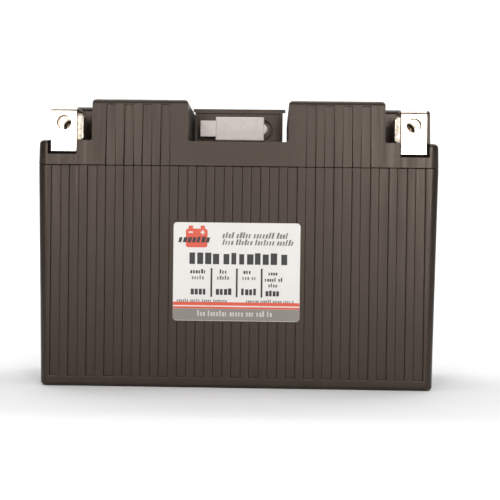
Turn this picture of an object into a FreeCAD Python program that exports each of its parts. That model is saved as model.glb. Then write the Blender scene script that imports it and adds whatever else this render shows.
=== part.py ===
import FreeCAD, Part
import math
import os
import Sketcher

# Sealed lithium starter battery for a motorcycle: a ribbed case, a notched lid, two folded-strip
# terminals with loose square nuts, a balance and charge port under a pull-off cap, and the cells inside.
# Millimetres. X runs along the battery, the front faces -Y, Z is up, the origin is the base's middle.

DIMENSIONS = {
    # outer envelope
    "long_side": 148.0,
    "deep_side": 66.0,
    "full_height": 106.4,
    "seam_height": 82.0,
    "draft": 1.0,
    "corner_radius": 3.0,
    "wall": 2.2,
    "base_thickness": 2.5,
    "base_round": 1.4,
    # vertical grooves
    "groove_pitch": 6.72,
    "groove_width": 3.36,
    "groove_depth": 0.75,
    "groove_bottom": 4.0,
    "tower_groove_top": 104.5,
    # bond bead in the case's rim, from the outside
    "bead_outside": 1.1,
    "bead_inside": 1.75,
    "bead_depth": 0.8,
    # lid notches
    "notch_floor": 91.0,
    "notch_back": -11.0,
    "recess_half": 18.5,
    "tower_outside": 54.0,
    "top_round": 1.8,
    "ledge_round": 1.5,
    "foot_round": 0.8,
    "upper_inset": 0.4,
    "rail_inside": 11.5,
    "rail_outside": 13.5,
    "wire_slot_left": -5.0,
    "wire_slot_right": 6.0,
    # terminals
    "strip": 1.5,
    "strip_width": 9.6,
    "terminal_middle": 64.6,
    "terminal_front": -32.0,
    "terminal_back": -18.0,
    "terminal_top": 103.4,
    "terminal_tip": 87.0,
    "terminal_root": 81.2,
    "bend_radius": 2.0,
    "inner_bend": 0.5,
    "strip_round": 0.25,
    "bolt_hole_radius": 2.8,
    "front_hole_height": 97.6,
    "slot_inside": 59.6,
    "slot_outside": 70.3,
    "slot_bottom": 85.8,
    "slot_depth": 2.8,
    # terminal nuts
    "nut_size": 10.0,
    "nut_thickness": 4.5,
    "nut_middle": 62.5,
    "nut_front": -30.3,
    "nut_lift": 0.05,
    "nut_hole_radius": 2.1,
    "nut_corner": 1.1,
    "nut_edge": 0.4,
    "nut_mouth": 0.5,
    # port housing
    "housing_left": -17.6,
    "housing_right": 16.5,
    "housing_back": 31.8,
    "housing_top": 106.0,
    "flange_left": -18.3,
    "flange_right": 17.5,
    "flange_thickness": 1.1,
    "flange_depth": 2.6,
    "flange_round": 0.5,
    "housing_wall": 1.6,
    "face_recess": 0.8,
    "face_rim": 1.2,
    # port socket and cap
    "port_height": 97.7,
    "socket_width": 16.2,
    "socket_height": 6.8,
    "socket_front": -14.7,
    "socket_back": -6.5,
    "socket_wall": 1.0,
    "socket_cavity": 5.5,
    "pin_side": 0.64,
    "pin_pitch": 2.5,
    "cap_width": 18.5,
    "cap_height": 9.0,
    "cap_front": -16.6,
    "cap_back": -10.5,
    "cap_play": 0.1,
    "cap_round": 0.5,
    "cap_front_wall": 1.6,
    "tab_reach": 15.1,
    "tab_height": 6.1,
    "tab_thickness": 1.4,
    "tab_setback": 0.4,
    "nib_reach": 10.5,
    "nib_height": 3.5,
    "nib_tip": 0.5,
    "nib_neck": 0.5,
    "ring_middle": 8.4,
    "ring_outside": 4.3,
    "ring_inside": 3.5,
    "ring_depth": 1.3,
    # labels
    "label_width": 46.7,
    "label_height": 36.2,
    "label_bottom": 24.9,
    "label_middle": 0.0,
    "label_thickness": 0.2,
    "label_lift": 0.02,
    # cells
    "cell_width": 132.0,
    "cell_thickness": 13.0,
    "cell_height": 68.0,
    "cell_pitch": 14.0,
    "pad_thickness": 1.5,
    "tab_middle": 42.0,
    "cell_tab_width": 20.0,
    "cell_tab_thickness": 0.8,
    "cell_tab_height": 6.0,
    "bus_thickness": 1.2,
    "lead_width": 7.6,
    # balance board
    "board_width": 28.0,
    "board_depth": 32.0,
    "board_thickness": 1.6,
    "board_lift": 1.0,
    "board_front": -8.6,
    "chip_width": 7.0,
    "chip_depth": 5.0,
    "chip_height": 1.4,
    "chip_middle": 11.5,
    "resistor_width": 3.2,
    "resistor_depth": 2.0,
    "resistor_height": 0.7,
    "resistor_front": 17.5,
    "resistor_pitch": 6.0,
    "pin_tail": 2.0,
    "port_wire_reach": 5.5,
    "port_wire_radius": 0.45,
    "port_wire_bend": 2.0,
    "sense_wire_lane": 3.2,
    "sense_wire_inset": 6.0,
    "sense_wire_radius": 0.6,
    "sense_wire_bend": 1.5,
}
PIN_COUNT = 5
CELL_COUNT = 4
FRONT_GROOVES = 21
SIDE_GROOVES = 9
TOWER_GROOVES = 4
TOWER_FIRST_GROOVE = 4

doc = FreeCAD.newDocument("MotorcycleBattery")
sheet = doc.addObject("Spreadsheet::Sheet", "Size")
for row, (alias, value) in enumerate(DIMENSIONS.items(), start=1):
    sheet.set(f"A{row}", alias)
    sheet.set(f"B{row}", str(value))
    sheet.setAlias(f"B{row}", alias)
doc.recompute()

subparts = {}


def size(alias):
    """The value of one cell of the sheet."""
    return float(sheet.get(alias))


def value_of(expression):
    """The number that an expression of the sheet's cells gives."""
    return float(sheet.evalExpression(expression))


def keep(item, name):
    """Registers a finished sub-part under its node name."""
    item.Label = name
    subparts[name] = item
    return item


# ---------------------------------------------------------------- Part helpers


def block(name, x, y, z):
    """A box between two expressions on each axis."""
    item = doc.addObject("Part::Box", name)
    for side, axis, (low, high) in zip(("Length", "Width", "Height"), "xyz", (x, y, z)):
        item.setExpression(side, f"({high}) - ({low})")
        item.setExpression(f"Placement.Base.{axis}", low)
    return item


def joined(name, *items):
    """One solid of several pieces that touch."""
    item = doc.addObject("Part::MultiFuse", name)
    item.Shapes = list(items)
    item.Refine = True
    return item


def cut(name, base, tool):
    """The base without the tool."""
    item = doc.addObject("Part::Cut", name)
    item.Base = base
    item.Tool = tool
    return item


def mirrored_in_x(name, source):
    """The same piece on the other side of the battery's middle plane."""
    item = doc.addObject("Part::Mirroring", name)
    item.Source = source
    item.Base = FreeCAD.Vector(0, 0, 0)
    item.Normal = FreeCAD.Vector(1, 0, 0)
    return item


def group_of(name, shapes):
    """Separate solids that share one node."""
    item = doc.addObject("Part::Feature", name)
    item.Shape = Part.makeCompound(shapes)
    return item


# ---------------------------------------------------------- PartDesign helpers


def new_body(name):
    return doc.addObject("PartDesign::Body", name)


def origin_feature(body, role):
    return next(item for item in body.Origin.OriginFeatures if item.Role == role)


def sketch_on(body, role, offset, name):
    """A sketch on one of the body's own origin planes, moved along its normal by an expression."""
    sketch = body.newObject("Sketcher::SketchObject", name)
    sketch.AttachmentSupport = [(origin_feature(body, role), "")]
    sketch.MapMode = "FlatFace"
    sketch.setExpression("AttachmentOffset.Base.z", offset)
    return sketch


def bind_point(sketch, geometry, vertex, x, y):
    """Holds one point of a sketch at two expressions."""
    for kind, expression in (("DistanceX", x), ("DistanceY", y)):
        rule = Sketcher.Constraint(kind, -1, 1, geometry, vertex, value_of(expression))
        index = sketch.addConstraint(rule)
        sketch.setExpression(f"Constraints[{index}]", expression)


def outline(sketch, points):
    """A closed polygon whose corners are pairs of expressions."""
    places = [FreeCAD.Vector(value_of(x), value_of(y), 0) for x, y in points]
    following = places[1:] + places[:1]
    lines = [Part.LineSegment(a, b) for a, b in zip(places, following)]
    numbers = sketch.addGeometry(lines, False)
    for here, after in zip(numbers, list(numbers[1:]) + [numbers[0]]):
        sketch.addConstraint(Sketcher.Constraint("Coincident", here, 2, after, 1))
    for number, (x, y) in zip(numbers, points):
        bind_point(sketch, number, 1, x, y)


def rectangle(sketch, left, right, low, high):
    outline(sketch, [(left, low), (right, low), (right, high), (left, high)])


def circle(sketch, x, y, radius):
    centre = FreeCAD.Vector(value_of(x), value_of(y), 0)
    up = FreeCAD.Vector(0, 0, 1)
    number = sketch.addGeometry(Part.Circle(centre, up, value_of(radius)), False)
    bind_point(sketch, number, 3, x, y)
    index = sketch.addConstraint(Sketcher.Constraint("Radius", number, value_of(radius)))
    sketch.setExpression(f"Constraints[{index}]", radius)


def feature(body, kind, sketch, length, name, taper=None, both_ways=False, flipped=False):
    """A pad or pocket of a sketch, checked to have changed the body's volume the right way."""
    doc.recompute()
    before = body.Shape.Volume if body.Tip and not body.Shape.isNull() else 0.0
    item = body.newObject(f"PartDesign::{kind}", name)
    item.Profile = sketch
    item.setExpression("Length", length)
    if taper:
        item.setExpression("TaperAngle", taper)
    item.Midplane = both_ways
    item.Reversed = flipped
    doc.recompute()
    grown = body.Shape.Volume - before
    if (kind == "Pad") != (grown > 0) or abs(grown) < 1e-3:
        raise RuntimeError(f"{name} changed the volume by {grown:.3f}")
    return item


def in_a_row(body, originals, axis, length, count, name):
    item = body.newObject("PartDesign::LinearPattern", name)
    item.Originals = originals
    item.Direction = (origin_feature(body, axis), [""])
    item.setExpression("Length", length)
    item.Occurrences = count
    body.Tip = item
    doc.recompute()
    return item


def dress(body, kind, alias, name, wanted):
    """A fillet or chamfer of every edge of the body that the test picks."""
    base = body.Tip
    edges = [f"Edge{i}" for i, edge in enumerate(base.Shape.Edges, start=1) if wanted(edge)]
    if not edges:
        raise RuntimeError(f"{name} found no edge")
    item = body.newObject(f"PartDesign::{kind}", name)
    item.Base = (base, edges)
    item.setExpression("Radius" if kind == "Fillet" else "Size", f"Size.{alias}")
    doc.recompute()
    return item


def along(edge, axis):
    """Whether an edge is straight and runs nearly along one axis, 0 to 2 for X to Z."""
    if len(edge.Vertexes) < 2:
        return False
    way = edge.Vertexes[-1].Point - edge.Vertexes[0].Point
    return abs(way[axis]) > 0.99 * edge.Length


def round_edge(edge):
    """Whether the edge is a circle."""
    return edge.Curve.TypeId == "Part::GeomCircle"


def middle(edge):
    return edge.BoundBox.Center


def upright_corner(edge):
    return along(edge, 2) and abs(middle(edge).x) > 60 and abs(middle(edge).y) > 25


# ------------------------------------------------------------------------ case


def groove_profile(sketch, half_at_seam, bottom, top):
    """The two upright slits, one in each opposite wall, that follow the walls' draft away from the seam."""
    for side in (1, -1):
        points = []
        for level in (bottom, top):
            face = f"({half_at_seam} - abs(Size.seam_height - {level}) * tan(Size.draft))"
            inner = (f"{side} * ({face} - Size.groove_depth)", level)
            outer = (f"{side} * ({face} + 1)", level)
            points.append([inner, outer])
        (low_in, low_out), (high_in, high_out) = points
        outline(sketch, [low_in, low_out, high_out, high_in])


def wall_grooves(body, role, half, first, count, bottom, top, name):
    """Grooves at even pitch in two opposite walls, cut as one slit and repeated along the wall.

    first is the first groove's place, counted in pitches from the battery's middle.
    """
    start = f"Size.groove_pitch * {first}"
    # the XZ plane's normal points to -Y, the YZ plane's to +X
    axis, offset = ("Y_Axis", f"-({start})") if role == "XZ_Plane" else ("X_Axis", start)
    sketch = sketch_on(body, role, offset, name + "Profile")
    groove_profile(sketch, half, bottom, top)
    slit = feature(body, "Pocket", sketch, "Size.groove_width", name + "Slit", both_ways=True)
    return in_a_row(body, [slit], axis, f"Size.groove_pitch * {count - 1}", count, name)


def make_case():
    """Open tub with drafted walls, a floor, and grooves on all four sides."""
    body = new_body("CaseBody")
    spread = "Size.seam_height * tan(Size.draft)"
    half_long = f"(Size.long_side / 2 - {spread})"
    half_deep = f"(Size.deep_side / 2 - {spread})"
    base = sketch_on(body, "XY_Plane", "0", "CaseBase")
    rectangle(base, f"-{half_long}", half_long, f"-{half_deep}", half_deep)
    feature(body, "Pad", base, "Size.seam_height", "CaseBlock", taper="Size.draft")
    dress(body, "Fillet", "corner_radius", "CaseCorners", upright_corner)
    dress(body, "Fillet", "base_round", "CaseFoot", lambda edge: edge.BoundBox.ZMax < 0.01)

    mouth = sketch_on(body, "XY_Plane", "Size.seam_height", "CaseMouth")
    inside_long = "(Size.long_side / 2 - Size.wall)"
    inside_deep = "(Size.deep_side / 2 - Size.wall)"
    rectangle(mouth, f"-{inside_long}", inside_long, f"-{inside_deep}", inside_deep)
    depth = "Size.seam_height - Size.base_thickness"
    feature(body, "Pocket", mouth, depth, "CaseHollow", taper="-Size.draft")

    walls = [
        ("YZ_Plane", "Size.deep_side / 2", FRONT_GROOVES, "FrontGrooves"),
        ("XZ_Plane", "Size.long_side / 2", SIDE_GROOVES, "SideGrooves"),
    ]
    for role, half, count, name in walls:
        first = -(count - 1) / 2
        wall_grooves(body, role, half, first, count, "Size.groove_bottom", "Size.seam_height + 0.5", name)

    channel = sketch_on(body, "XY_Plane", "Size.seam_height", "BeadChannelOutline")
    bead_ring(channel)
    feature(body, "Pocket", channel, "Size.bead_depth", "BeadChannel")
    keep(body, "case")


def bead_ring(sketch):
    """The ring in the wall's thickness, behind the grooves, that the bond bead fills."""
    for inset in ("Size.bead_outside", "Size.bead_inside"):
        half_long = f"(Size.long_side / 2 - {inset})"
        half_deep = f"(Size.deep_side / 2 - {inset})"
        rectangle(sketch, f"-{half_long}", half_long, f"-{half_deep}", half_deep)


def make_bond_bead():
    """Bead of adhesive in the case's rim, under the lid."""
    body = new_body("BeadBody")
    ring = sketch_on(body, "XY_Plane", "Size.seam_height", "BeadOutline")
    bead_ring(ring)
    feature(body, "Pad", ring, "Size.bead_depth", "Bead", flipped=True)
    keep(body, "lid_bond_bead")


# ------------------------------------------------------------------------- lid


def make_lid():
    """Cover with two towers at the front, a plateau behind, three notches and the terminal slots."""
    body = new_body("LidBody")
    half_long = "(Size.long_side / 2)"
    half_deep = "(Size.deep_side / 2)"
    base = sketch_on(body, "XY_Plane", "Size.seam_height", "LidBase")
    rectangle(base, f"-{half_long}", half_long, f"-{half_deep}", half_deep)
    rise = "Size.full_height - Size.seam_height"
    feature(body, "Pad", base, rise, "LidBlock", taper="-Size.draft")
    dress(body, "Fillet", "corner_radius", "LidCorners", upright_corner)

    hollow_lid(body)
    cut_notches(body)
    cut_terminal_slots(body)
    round_lid(body)
    cut_tower_grooves(body)
    keep(body, "lid")


def hollow_lid(body):
    """The space over the cells, then the towers and the plateau, each open from below."""
    inner_long = "(Size.long_side / 2 - Size.wall)"
    inner_deep = "(Size.deep_side / 2 - Size.wall)"
    low = sketch_on(body, "XY_Plane", "Size.seam_height", "LidHollowOutline")
    rectangle(low, f"-{inner_long}", inner_long, f"-{inner_deep}", inner_deep)
    headroom = "Size.notch_floor - Size.wall - Size.seam_height"
    feature(body, "Pocket", low, headroom, "LidHollow", flipped=True)

    high = sketch_on(body, "XY_Plane", "Size.seam_height", "TowerHollowOutline")
    front = "(-Size.deep_side / 2 + Size.wall + Size.upper_inset)"
    back = "(Size.deep_side / 2 - Size.wall - Size.upper_inset)"
    behind_notch = "(Size.notch_back + Size.wall)"
    near = "(Size.recess_half + Size.wall)"
    tower = "(Size.tower_outside - Size.wall)"
    far = "(Size.long_side / 2 - Size.wall - Size.upper_inset)"
    for side in ("", "-"):
        corners = [
            (near, front),
            (tower, front),
            (tower, behind_notch),
            (far, behind_notch),
            (far, back),
            (near, back),
        ]
        outline(high, [(f"{side}{x}", y) for x, y in corners])
    ceiling = "Size.full_height - Size.wall - Size.seam_height"
    feature(body, "Pocket", high, ceiling, "TowerHollow", flipped=True)


def cut_notches(body):
    """The middle recess runs through to the back; the corner pockets stop at the plateau."""
    notch = sketch_on(body, "XY_Plane", "Size.notch_floor", "NotchOutline")
    beyond = "(Size.deep_side / 2 + 1)"
    rectangle(notch, "-Size.recess_half", "Size.recess_half", f"-{beyond}", beyond)
    outside = "(Size.long_side / 2 + 1)"
    rectangle(notch, "Size.tower_outside", outside, f"-{beyond}", "Size.notch_back")
    rectangle(notch, f"-{outside}", "-Size.tower_outside", f"-{beyond}", "Size.notch_back")
    feature(body, "Pocket", notch, "Size.full_height - Size.notch_floor + 1", "Notches", flipped=True)

    # two rails carry the balance board, and a long slot lets its wires down to the cells
    rails = sketch_on(body, "XY_Plane", "Size.notch_floor", "BoardRailOutline")
    rail_front = "(Size.board_front + 2)"
    rail_back = "(Size.board_front + Size.board_depth - 2)"
    for side in ("", "-"):
        rectangle(rails, f"{side}Size.rail_inside", f"{side}Size.rail_outside", rail_front, rail_back)
    feature(body, "Pad", rails, "Size.board_lift", "BoardRails")
    slot = sketch_on(body, "XY_Plane", "Size.notch_floor", "WireSlotOutline")
    slot_back = "Size.board_front + Size.board_depth - 1"
    rectangle(slot, "Size.wire_slot_left", "Size.wire_slot_right", "Size.board_front + 0.2", slot_back)
    feature(body, "Pocket", slot, "Size.wall", "WireSlot")


def cut_terminal_slots(body):
    """A backing block behind each front slot, the slot itself, and the slit that the strip rises through."""
    back = "(-Size.deep_side / 2 + Size.slot_depth)"
    backing = sketch_on(body, "XY_Plane", "Size.seam_height", "SlotBackingOutline")
    slots = sketch_on(body, "XY_Plane", "Size.slot_bottom", "SlotOutline")
    slits = sketch_on(body, "XY_Plane", "Size.notch_floor", "SlitOutline")
    half_strip = "Size.strip_width / 2"
    for side in (1, -1):
        inner = f"({side} * (Size.slot_inside - Size.wall))"
        outer = f"({side} * (Size.slot_outside + 1))"
        rectangle(backing, inner, outer, "-Size.deep_side / 2 + 1", f"{back} + Size.wall")
        near = f"({side} * Size.slot_inside)"
        far = f"({side} * Size.slot_outside)"
        rectangle(slots, near, far, "-Size.deep_side / 2 - 1", back)
        left = f"{side} * Size.terminal_middle - {half_strip}"
        right = f"{side} * Size.terminal_middle + {half_strip}"
        rectangle(slits, left, right, "Size.terminal_back - Size.strip", "Size.terminal_back")
    feature(body, "Pad", backing, "Size.notch_floor - Size.seam_height", "SlotBacking")
    feature(body, "Pocket", slots, "Size.notch_floor - Size.slot_bottom + 1", "Slots", flipped=True)
    feature(body, "Pocket", slits, "Size.wall", "StripSlits")


def round_lid(body):
    """Rounds the notches' feet and the corner ledges, then every edge of the top face."""
    top, floor = size("full_height"), size("notch_floor")

    def floor_edge(edge, place, give):
        centre = middle(edge)
        return along(edge, 1) and abs(abs(centre.x) - place) < give and abs(centre.z - floor) < 0.01

    def foot_edge(edge):
        return any(floor_edge(edge, size(alias), 0.05) for alias in ("recess_half", "tower_outside"))

    dress(body, "Fillet", "foot_round", "NotchFeet", foot_edge)
    dress(body, "Fillet", "ledge_round", "Ledges", lambda edge: floor_edge(edge, size("long_side") / 2, 1))
    dress(body, "Fillet", "top_round", "TopEdges", lambda edge: edge.BoundBox.ZMin > top - 0.01)


def cut_tower_grooves(body):
    """Four grooves in the front and back of each tower, in line with the case's."""
    half = "Size.deep_side / 2"
    last = TOWER_FIRST_GROOVE + TOWER_GROOVES - 1
    for name, first in (("RightTower", TOWER_FIRST_GROOVE), ("LeftTower", -last)):
        low, high = "Size.seam_height - 0.5", "Size.tower_groove_top"
        wall_grooves(body, "YZ_Plane", half, first, TOWER_GROOVES, low, high, name + "Grooves")


# ------------------------------------------------------------------- terminals


def make_terminals():
    """Folded strip: a front leg with a bolt hole, a top with another, and a rear leg into the lid."""
    body = new_body("TerminalBody")
    fold = sketch_on(body, "YZ_Plane", "-Size.terminal_middle", "TerminalFold")
    front, back, top = "Size.terminal_front", "Size.terminal_back", "Size.terminal_top"
    outline(
        fold,
        [
            (front, "Size.terminal_tip"),
            (front, top),
            (back, top),
            (back, "Size.terminal_root"),
            (f"{back} - Size.strip", "Size.terminal_root"),
            (f"{back} - Size.strip", f"{top} - Size.strip"),
            (f"{front} + Size.strip", f"{top} - Size.strip"),
            (f"{front} + Size.strip", "Size.terminal_tip"),
        ],
    )
    feature(body, "Pad", fold, "Size.strip_width", "TerminalStrip", both_ways=True)
    top_height = size("terminal_top")
    dress(
        body,
        "Fillet",
        "bend_radius",
        "TerminalBends",
        lambda edge: along(edge, 0) and edge.BoundBox.ZMin > top_height - 0.01,
    )
    inner = top_height - size("strip")
    sheet_alias = "inner_bend"
    dress(
        body,
        "Fillet",
        sheet_alias,
        "TerminalInnerBends",
        lambda edge: along(edge, 0) and abs(middle(edge).z - inner) < 0.01,
    )
    face = sketch_on(body, "XZ_Plane", "-(Size.terminal_front + Size.strip / 2)", "FrontHoleOutline")
    circle(face, "-Size.terminal_middle", "Size.front_hole_height", "Size.bolt_hole_radius")
    feature(body, "Pocket", face, "Size.strip * 2", "FrontHole", both_ways=True)
    crown = sketch_on(body, "XY_Plane", "Size.terminal_top - Size.strip / 2", "TopHoleOutline")
    between = "(Size.terminal_front + Size.terminal_back) / 2"
    circle(crown, "-Size.terminal_middle", between, "Size.bolt_hole_radius")
    feature(body, "Pocket", crown, "Size.strip * 2", "TopHole", both_ways=True)
    sides = [-size("terminal_middle") + share * size("strip_width") / 2 for share in (-1, 1)]

    def side_edge(edge):
        box = edge.BoundBox
        return box.XLength < 0.001 and min(abs(box.XMin - side) for side in sides) < 0.001

    dress(body, "Fillet", "strip_round", "StripSides", side_edge)
    keep(body, "positive_terminal")
    keep(mirrored_in_x("NegativeTerminal", body), "negative_terminal")


def make_nuts():
    """Loose square nut that stands on the pocket's floor behind the front leg, a little inwards."""
    body = new_body("NutBody")
    plane = "-(Size.nut_front + Size.nut_thickness / 2)"
    face = sketch_on(body, "XZ_Plane", plane, "NutFace")
    foot = "(Size.notch_floor + Size.nut_lift)"
    left = "(-Size.nut_middle - Size.nut_size / 2)"
    rectangle(face, left, f"{left} + Size.nut_size", foot, f"{foot} + Size.nut_size")
    feature(body, "Pad", face, "Size.nut_thickness", "NutBlank", both_ways=True)
    dress(body, "Chamfer", "nut_corner", "NutCorners", lambda edge: along(edge, 1))
    dress(body, "Chamfer", "nut_edge", "NutFaces", lambda edge: not along(edge, 1))
    bore = sketch_on(body, "XZ_Plane", plane, "NutBoreOutline")
    circle(bore, "-Size.nut_middle", f"{foot} + Size.nut_size / 2", "Size.nut_hole_radius")
    feature(body, "Pocket", bore, "Size.nut_thickness * 2", "NutBore", both_ways=True)
    dress(body, "Chamfer", "nut_mouth", "NutMouths", round_edge)
    keep(body, "positive_terminal_nut")
    keep(mirrored_in_x("NegativeNut", body), "negative_terminal_nut")


# ------------------------------------------------------------------------ port


def make_port_housing():
    """Hollow block in the middle recess, with a lip at its top front and a framed face for the port."""
    body = new_body("HousingBody")
    floor = "Size.notch_floor"
    plan = sketch_on(body, "XY_Plane", floor, "HousingPlan")
    sides = ("Size.housing_left", "Size.housing_right")
    rectangle(plan, *sides, "Size.notch_back", "Size.housing_back")
    feature(body, "Pad", plan, f"Size.housing_top - {floor}", "HousingBlock")
    flange = sketch_on(body, "XY_Plane", "Size.housing_top", "FlangePlan")
    flange_back = "Size.notch_back + Size.flange_depth"
    rectangle(flange, "Size.flange_left", "Size.flange_right", "Size.notch_back", flange_back)
    feature(body, "Pad", flange, "Size.flange_thickness", "Flange", flipped=True)

    inside = sketch_on(body, "XY_Plane", floor, "HousingHollowPlan")
    wall = "Size.housing_wall"
    rectangle(
        inside,
        f"Size.housing_left + {wall}",
        f"Size.housing_right - {wall}",
        f"Size.notch_back + Size.face_recess + {wall}",
        f"Size.housing_back - {wall}",
    )
    feature(body, "Pocket", inside, f"Size.housing_top - {wall} - {floor}", "HousingHollow", flipped=True)

    face = "-Size.notch_back"
    frame = sketch_on(body, "XZ_Plane", face, "FaceRecessOutline")
    rectangle(
        frame,
        "Size.housing_left + Size.face_rim",
        "Size.housing_right - Size.face_rim",
        f"{floor} + Size.face_rim",
        "Size.housing_top - Size.flange_thickness - 0.6",
    )
    feature(body, "Pocket", frame, "Size.face_recess", "FaceRecess")
    ring = sketch_on(body, "XZ_Plane", face, "NibRingOutline")
    for radius in ("Size.ring_outside", "Size.ring_inside"):
        circle(ring, "Size.ring_middle", "Size.port_height", radius)
    feature(body, "Pocket", ring, "Size.face_recess + Size.ring_depth", "NibRing")
    mouth = sketch_on(body, "XZ_Plane", face, "PortOpeningOutline")
    half_width, half_height = "Size.socket_width / 2", "Size.socket_height / 2"
    port = "Size.port_height"
    rectangle(mouth, f"-{half_width}", half_width, f"{port} - {half_height}", f"{port} + {half_height}")
    feature(body, "Pocket", mouth, f"Size.face_recess + {wall} + 1", "PortOpening")
    crown = size("housing_top") - 0.01
    dress(body, "Fillet", "flange_round", "FlangeEdges", lambda edge: edge.BoundBox.ZMin > crown)
    keep(body, "port_housing")


def make_port_socket():
    """Five-way connector: a shell through the housing's face, open at the front, and its pins."""
    port = "Size.port_height"
    half_side = "Size.pin_side / 2"
    pins = []
    for number in range(PIN_COUNT):
        place = f"Size.pin_pitch * {number - (PIN_COUNT - 1) / 2}"
        pins.append(
            block(
                f"Pin{number + 1}",
                (f"{place} - {half_side}", f"{place} + {half_side}"),
                ("Size.socket_front + 0.8", "Size.socket_back + 2"),
                (f"{port} - {half_side}", f"{port} + {half_side}"),
            )
        )
    pin_row = doc.addObject("Part::Compound", "PinRow")
    pin_row.Links = pins

    shell = block(
        "SocketShell",
        ("-Size.socket_width / 2", "Size.socket_width / 2"),
        ("Size.socket_front", "Size.socket_back"),
        (f"{port} - Size.socket_height / 2", f"{port} + Size.socket_height / 2"),
    )
    cavity = block(
        "SocketCavity",
        ("-Size.socket_width / 2 + Size.socket_wall", "Size.socket_width / 2 - Size.socket_wall"),
        ("Size.socket_front", "Size.socket_front + Size.socket_cavity"),
        (
            f"{port} - Size.socket_height / 2 + Size.socket_wall",
            f"{port} + Size.socket_height / 2 - Size.socket_wall",
        ),
    )
    keep(cut("PortSocket", cut("OpenShell", shell, cavity), pin_row), "port_socket")
    keep(pin_row, "port_pins")


def make_dust_cap():
    """Soft cap over the socket's shell, with a pull tab on the left and a nib on the right."""
    body = new_body("CapBody")
    port = "Size.port_height"
    face = sketch_on(body, "XZ_Plane", "-Size.cap_back", "CapFace")
    half_width, half_height = "Size.cap_width / 2", "Size.cap_height / 2"
    rectangle(face, f"-{half_width}", half_width, f"{port} - {half_height}", f"{port} + {half_height}")
    feature(body, "Pad", face, "Size.cap_back - Size.cap_front", "CapBlock")
    front = size("cap_front")
    dress(body, "Fillet", "cap_round", "CapFrontEdges", lambda edge: edge.BoundBox.YMax < front + 0.01)

    wings_back = "Size.cap_front + Size.tab_setback + Size.tab_thickness"
    wings = sketch_on(body, "XZ_Plane", f"-({wings_back})", "CapWings")
    half_tab, half_nib = "Size.tab_height / 2", "Size.nib_height / 2"
    tab_low, tab_high = f"{port} - {half_tab}", f"{port} + {half_tab}"
    rectangle(wings, "-Size.tab_reach", f"-{half_width} + 0.5", tab_low, tab_high)
    root = f"{half_width} - 0.5"
    outline(
        wings,
        [
            (root, f"{port} - {half_nib}"),
            (f"{half_width} + Size.nib_neck", f"{port} - {half_nib}"),
            ("Size.nib_reach", f"{port} - Size.nib_tip"),
            ("Size.nib_reach", f"{port} + Size.nib_tip"),
            (f"{half_width} + Size.nib_neck", f"{port} + {half_nib}"),
            (root, f"{port} + {half_nib}"),
        ],
    )
    feature(body, "Pad", wings, "Size.tab_thickness", "TabAndNib")

    hollow = sketch_on(body, "XZ_Plane", "-Size.cap_back", "CapHollowOutline")
    wide = "(Size.socket_width / 2 + Size.cap_play)"
    high = "(Size.socket_height / 2 + Size.cap_play)"
    rectangle(hollow, f"-{wide}", wide, f"{port} - {high}", f"{port} + {high}")
    # the cavity opens at the back, so it is cut towards the front
    depth = "Size.cap_back - Size.cap_front - Size.cap_front_wall"
    feature(body, "Pocket", hollow, depth, "CapHollow", flipped=True)
    keep(body, "port_dust_cap")


# ---------------------------------------------------------------------- labels


def make_labels():
    """Thin laminate with rounded corners, leaning with the wall's draft across the ribs' faces."""
    lean = size("draft")
    half_deep = size("deep_side") / 2
    rise = size("label_bottom")
    inset = (size("seam_height") - rise) * math.tan(math.radians(lean))
    for name, side in (("front_label", -1), ("rear_label", 1)):
        blank = doc.addObject("Part::Box", name.title().replace("_", "") + "Blank")
        blank.setExpression("Length", "Size.label_width")
        blank.setExpression("Width", "Size.label_thickness")
        blank.setExpression("Height", "Size.label_height")
        doc.recompute()
        edges = [i for i, edge in enumerate(blank.Shape.Edges, start=1) if along(edge, 1)]
        label = doc.addObject("Part::Fillet", name.title().replace("_", ""))
        label.Base = blank
        label.Edges = [(index, 1.3, 1.3) for index in edges]
        face = side * (half_deep - inset + size("label_lift"))
        place = size("label_middle") - size("label_width") / 2
        thickness = size("label_thickness")
        low_corner = FreeCAD.Vector(place, face - thickness if side < 0 else face, rise)
        turn = FreeCAD.Rotation(FreeCAD.Vector(1, 0, 0), -side * lean)
        pivot = FreeCAD.Vector(0, thickness if side < 0 else 0, 0)
        label.Placement = FreeCAD.Placement(low_corner, turn, pivot)
        keep(label, name)


# ----------------------------------------------------------------------- cells

CELL_FOOT = "(Size.base_thickness + Size.pad_thickness)"
CELL_TOP = f"({CELL_FOOT} + Size.cell_height)"
TAB_TOP = f"({CELL_TOP} + Size.cell_tab_height)"
LEAD_TOP = "Size.terminal_root"


def cell_place(number):
    """Y of a cell's middle, counted from the front."""
    return f"Size.cell_pitch * {number - (CELL_COUNT - 1) / 2}"


def tab_range(side):
    half = "Size.cell_tab_width / 2"
    return (f"{side} * Size.tab_middle - {half}", f"{side} * Size.tab_middle + {half}")


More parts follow.
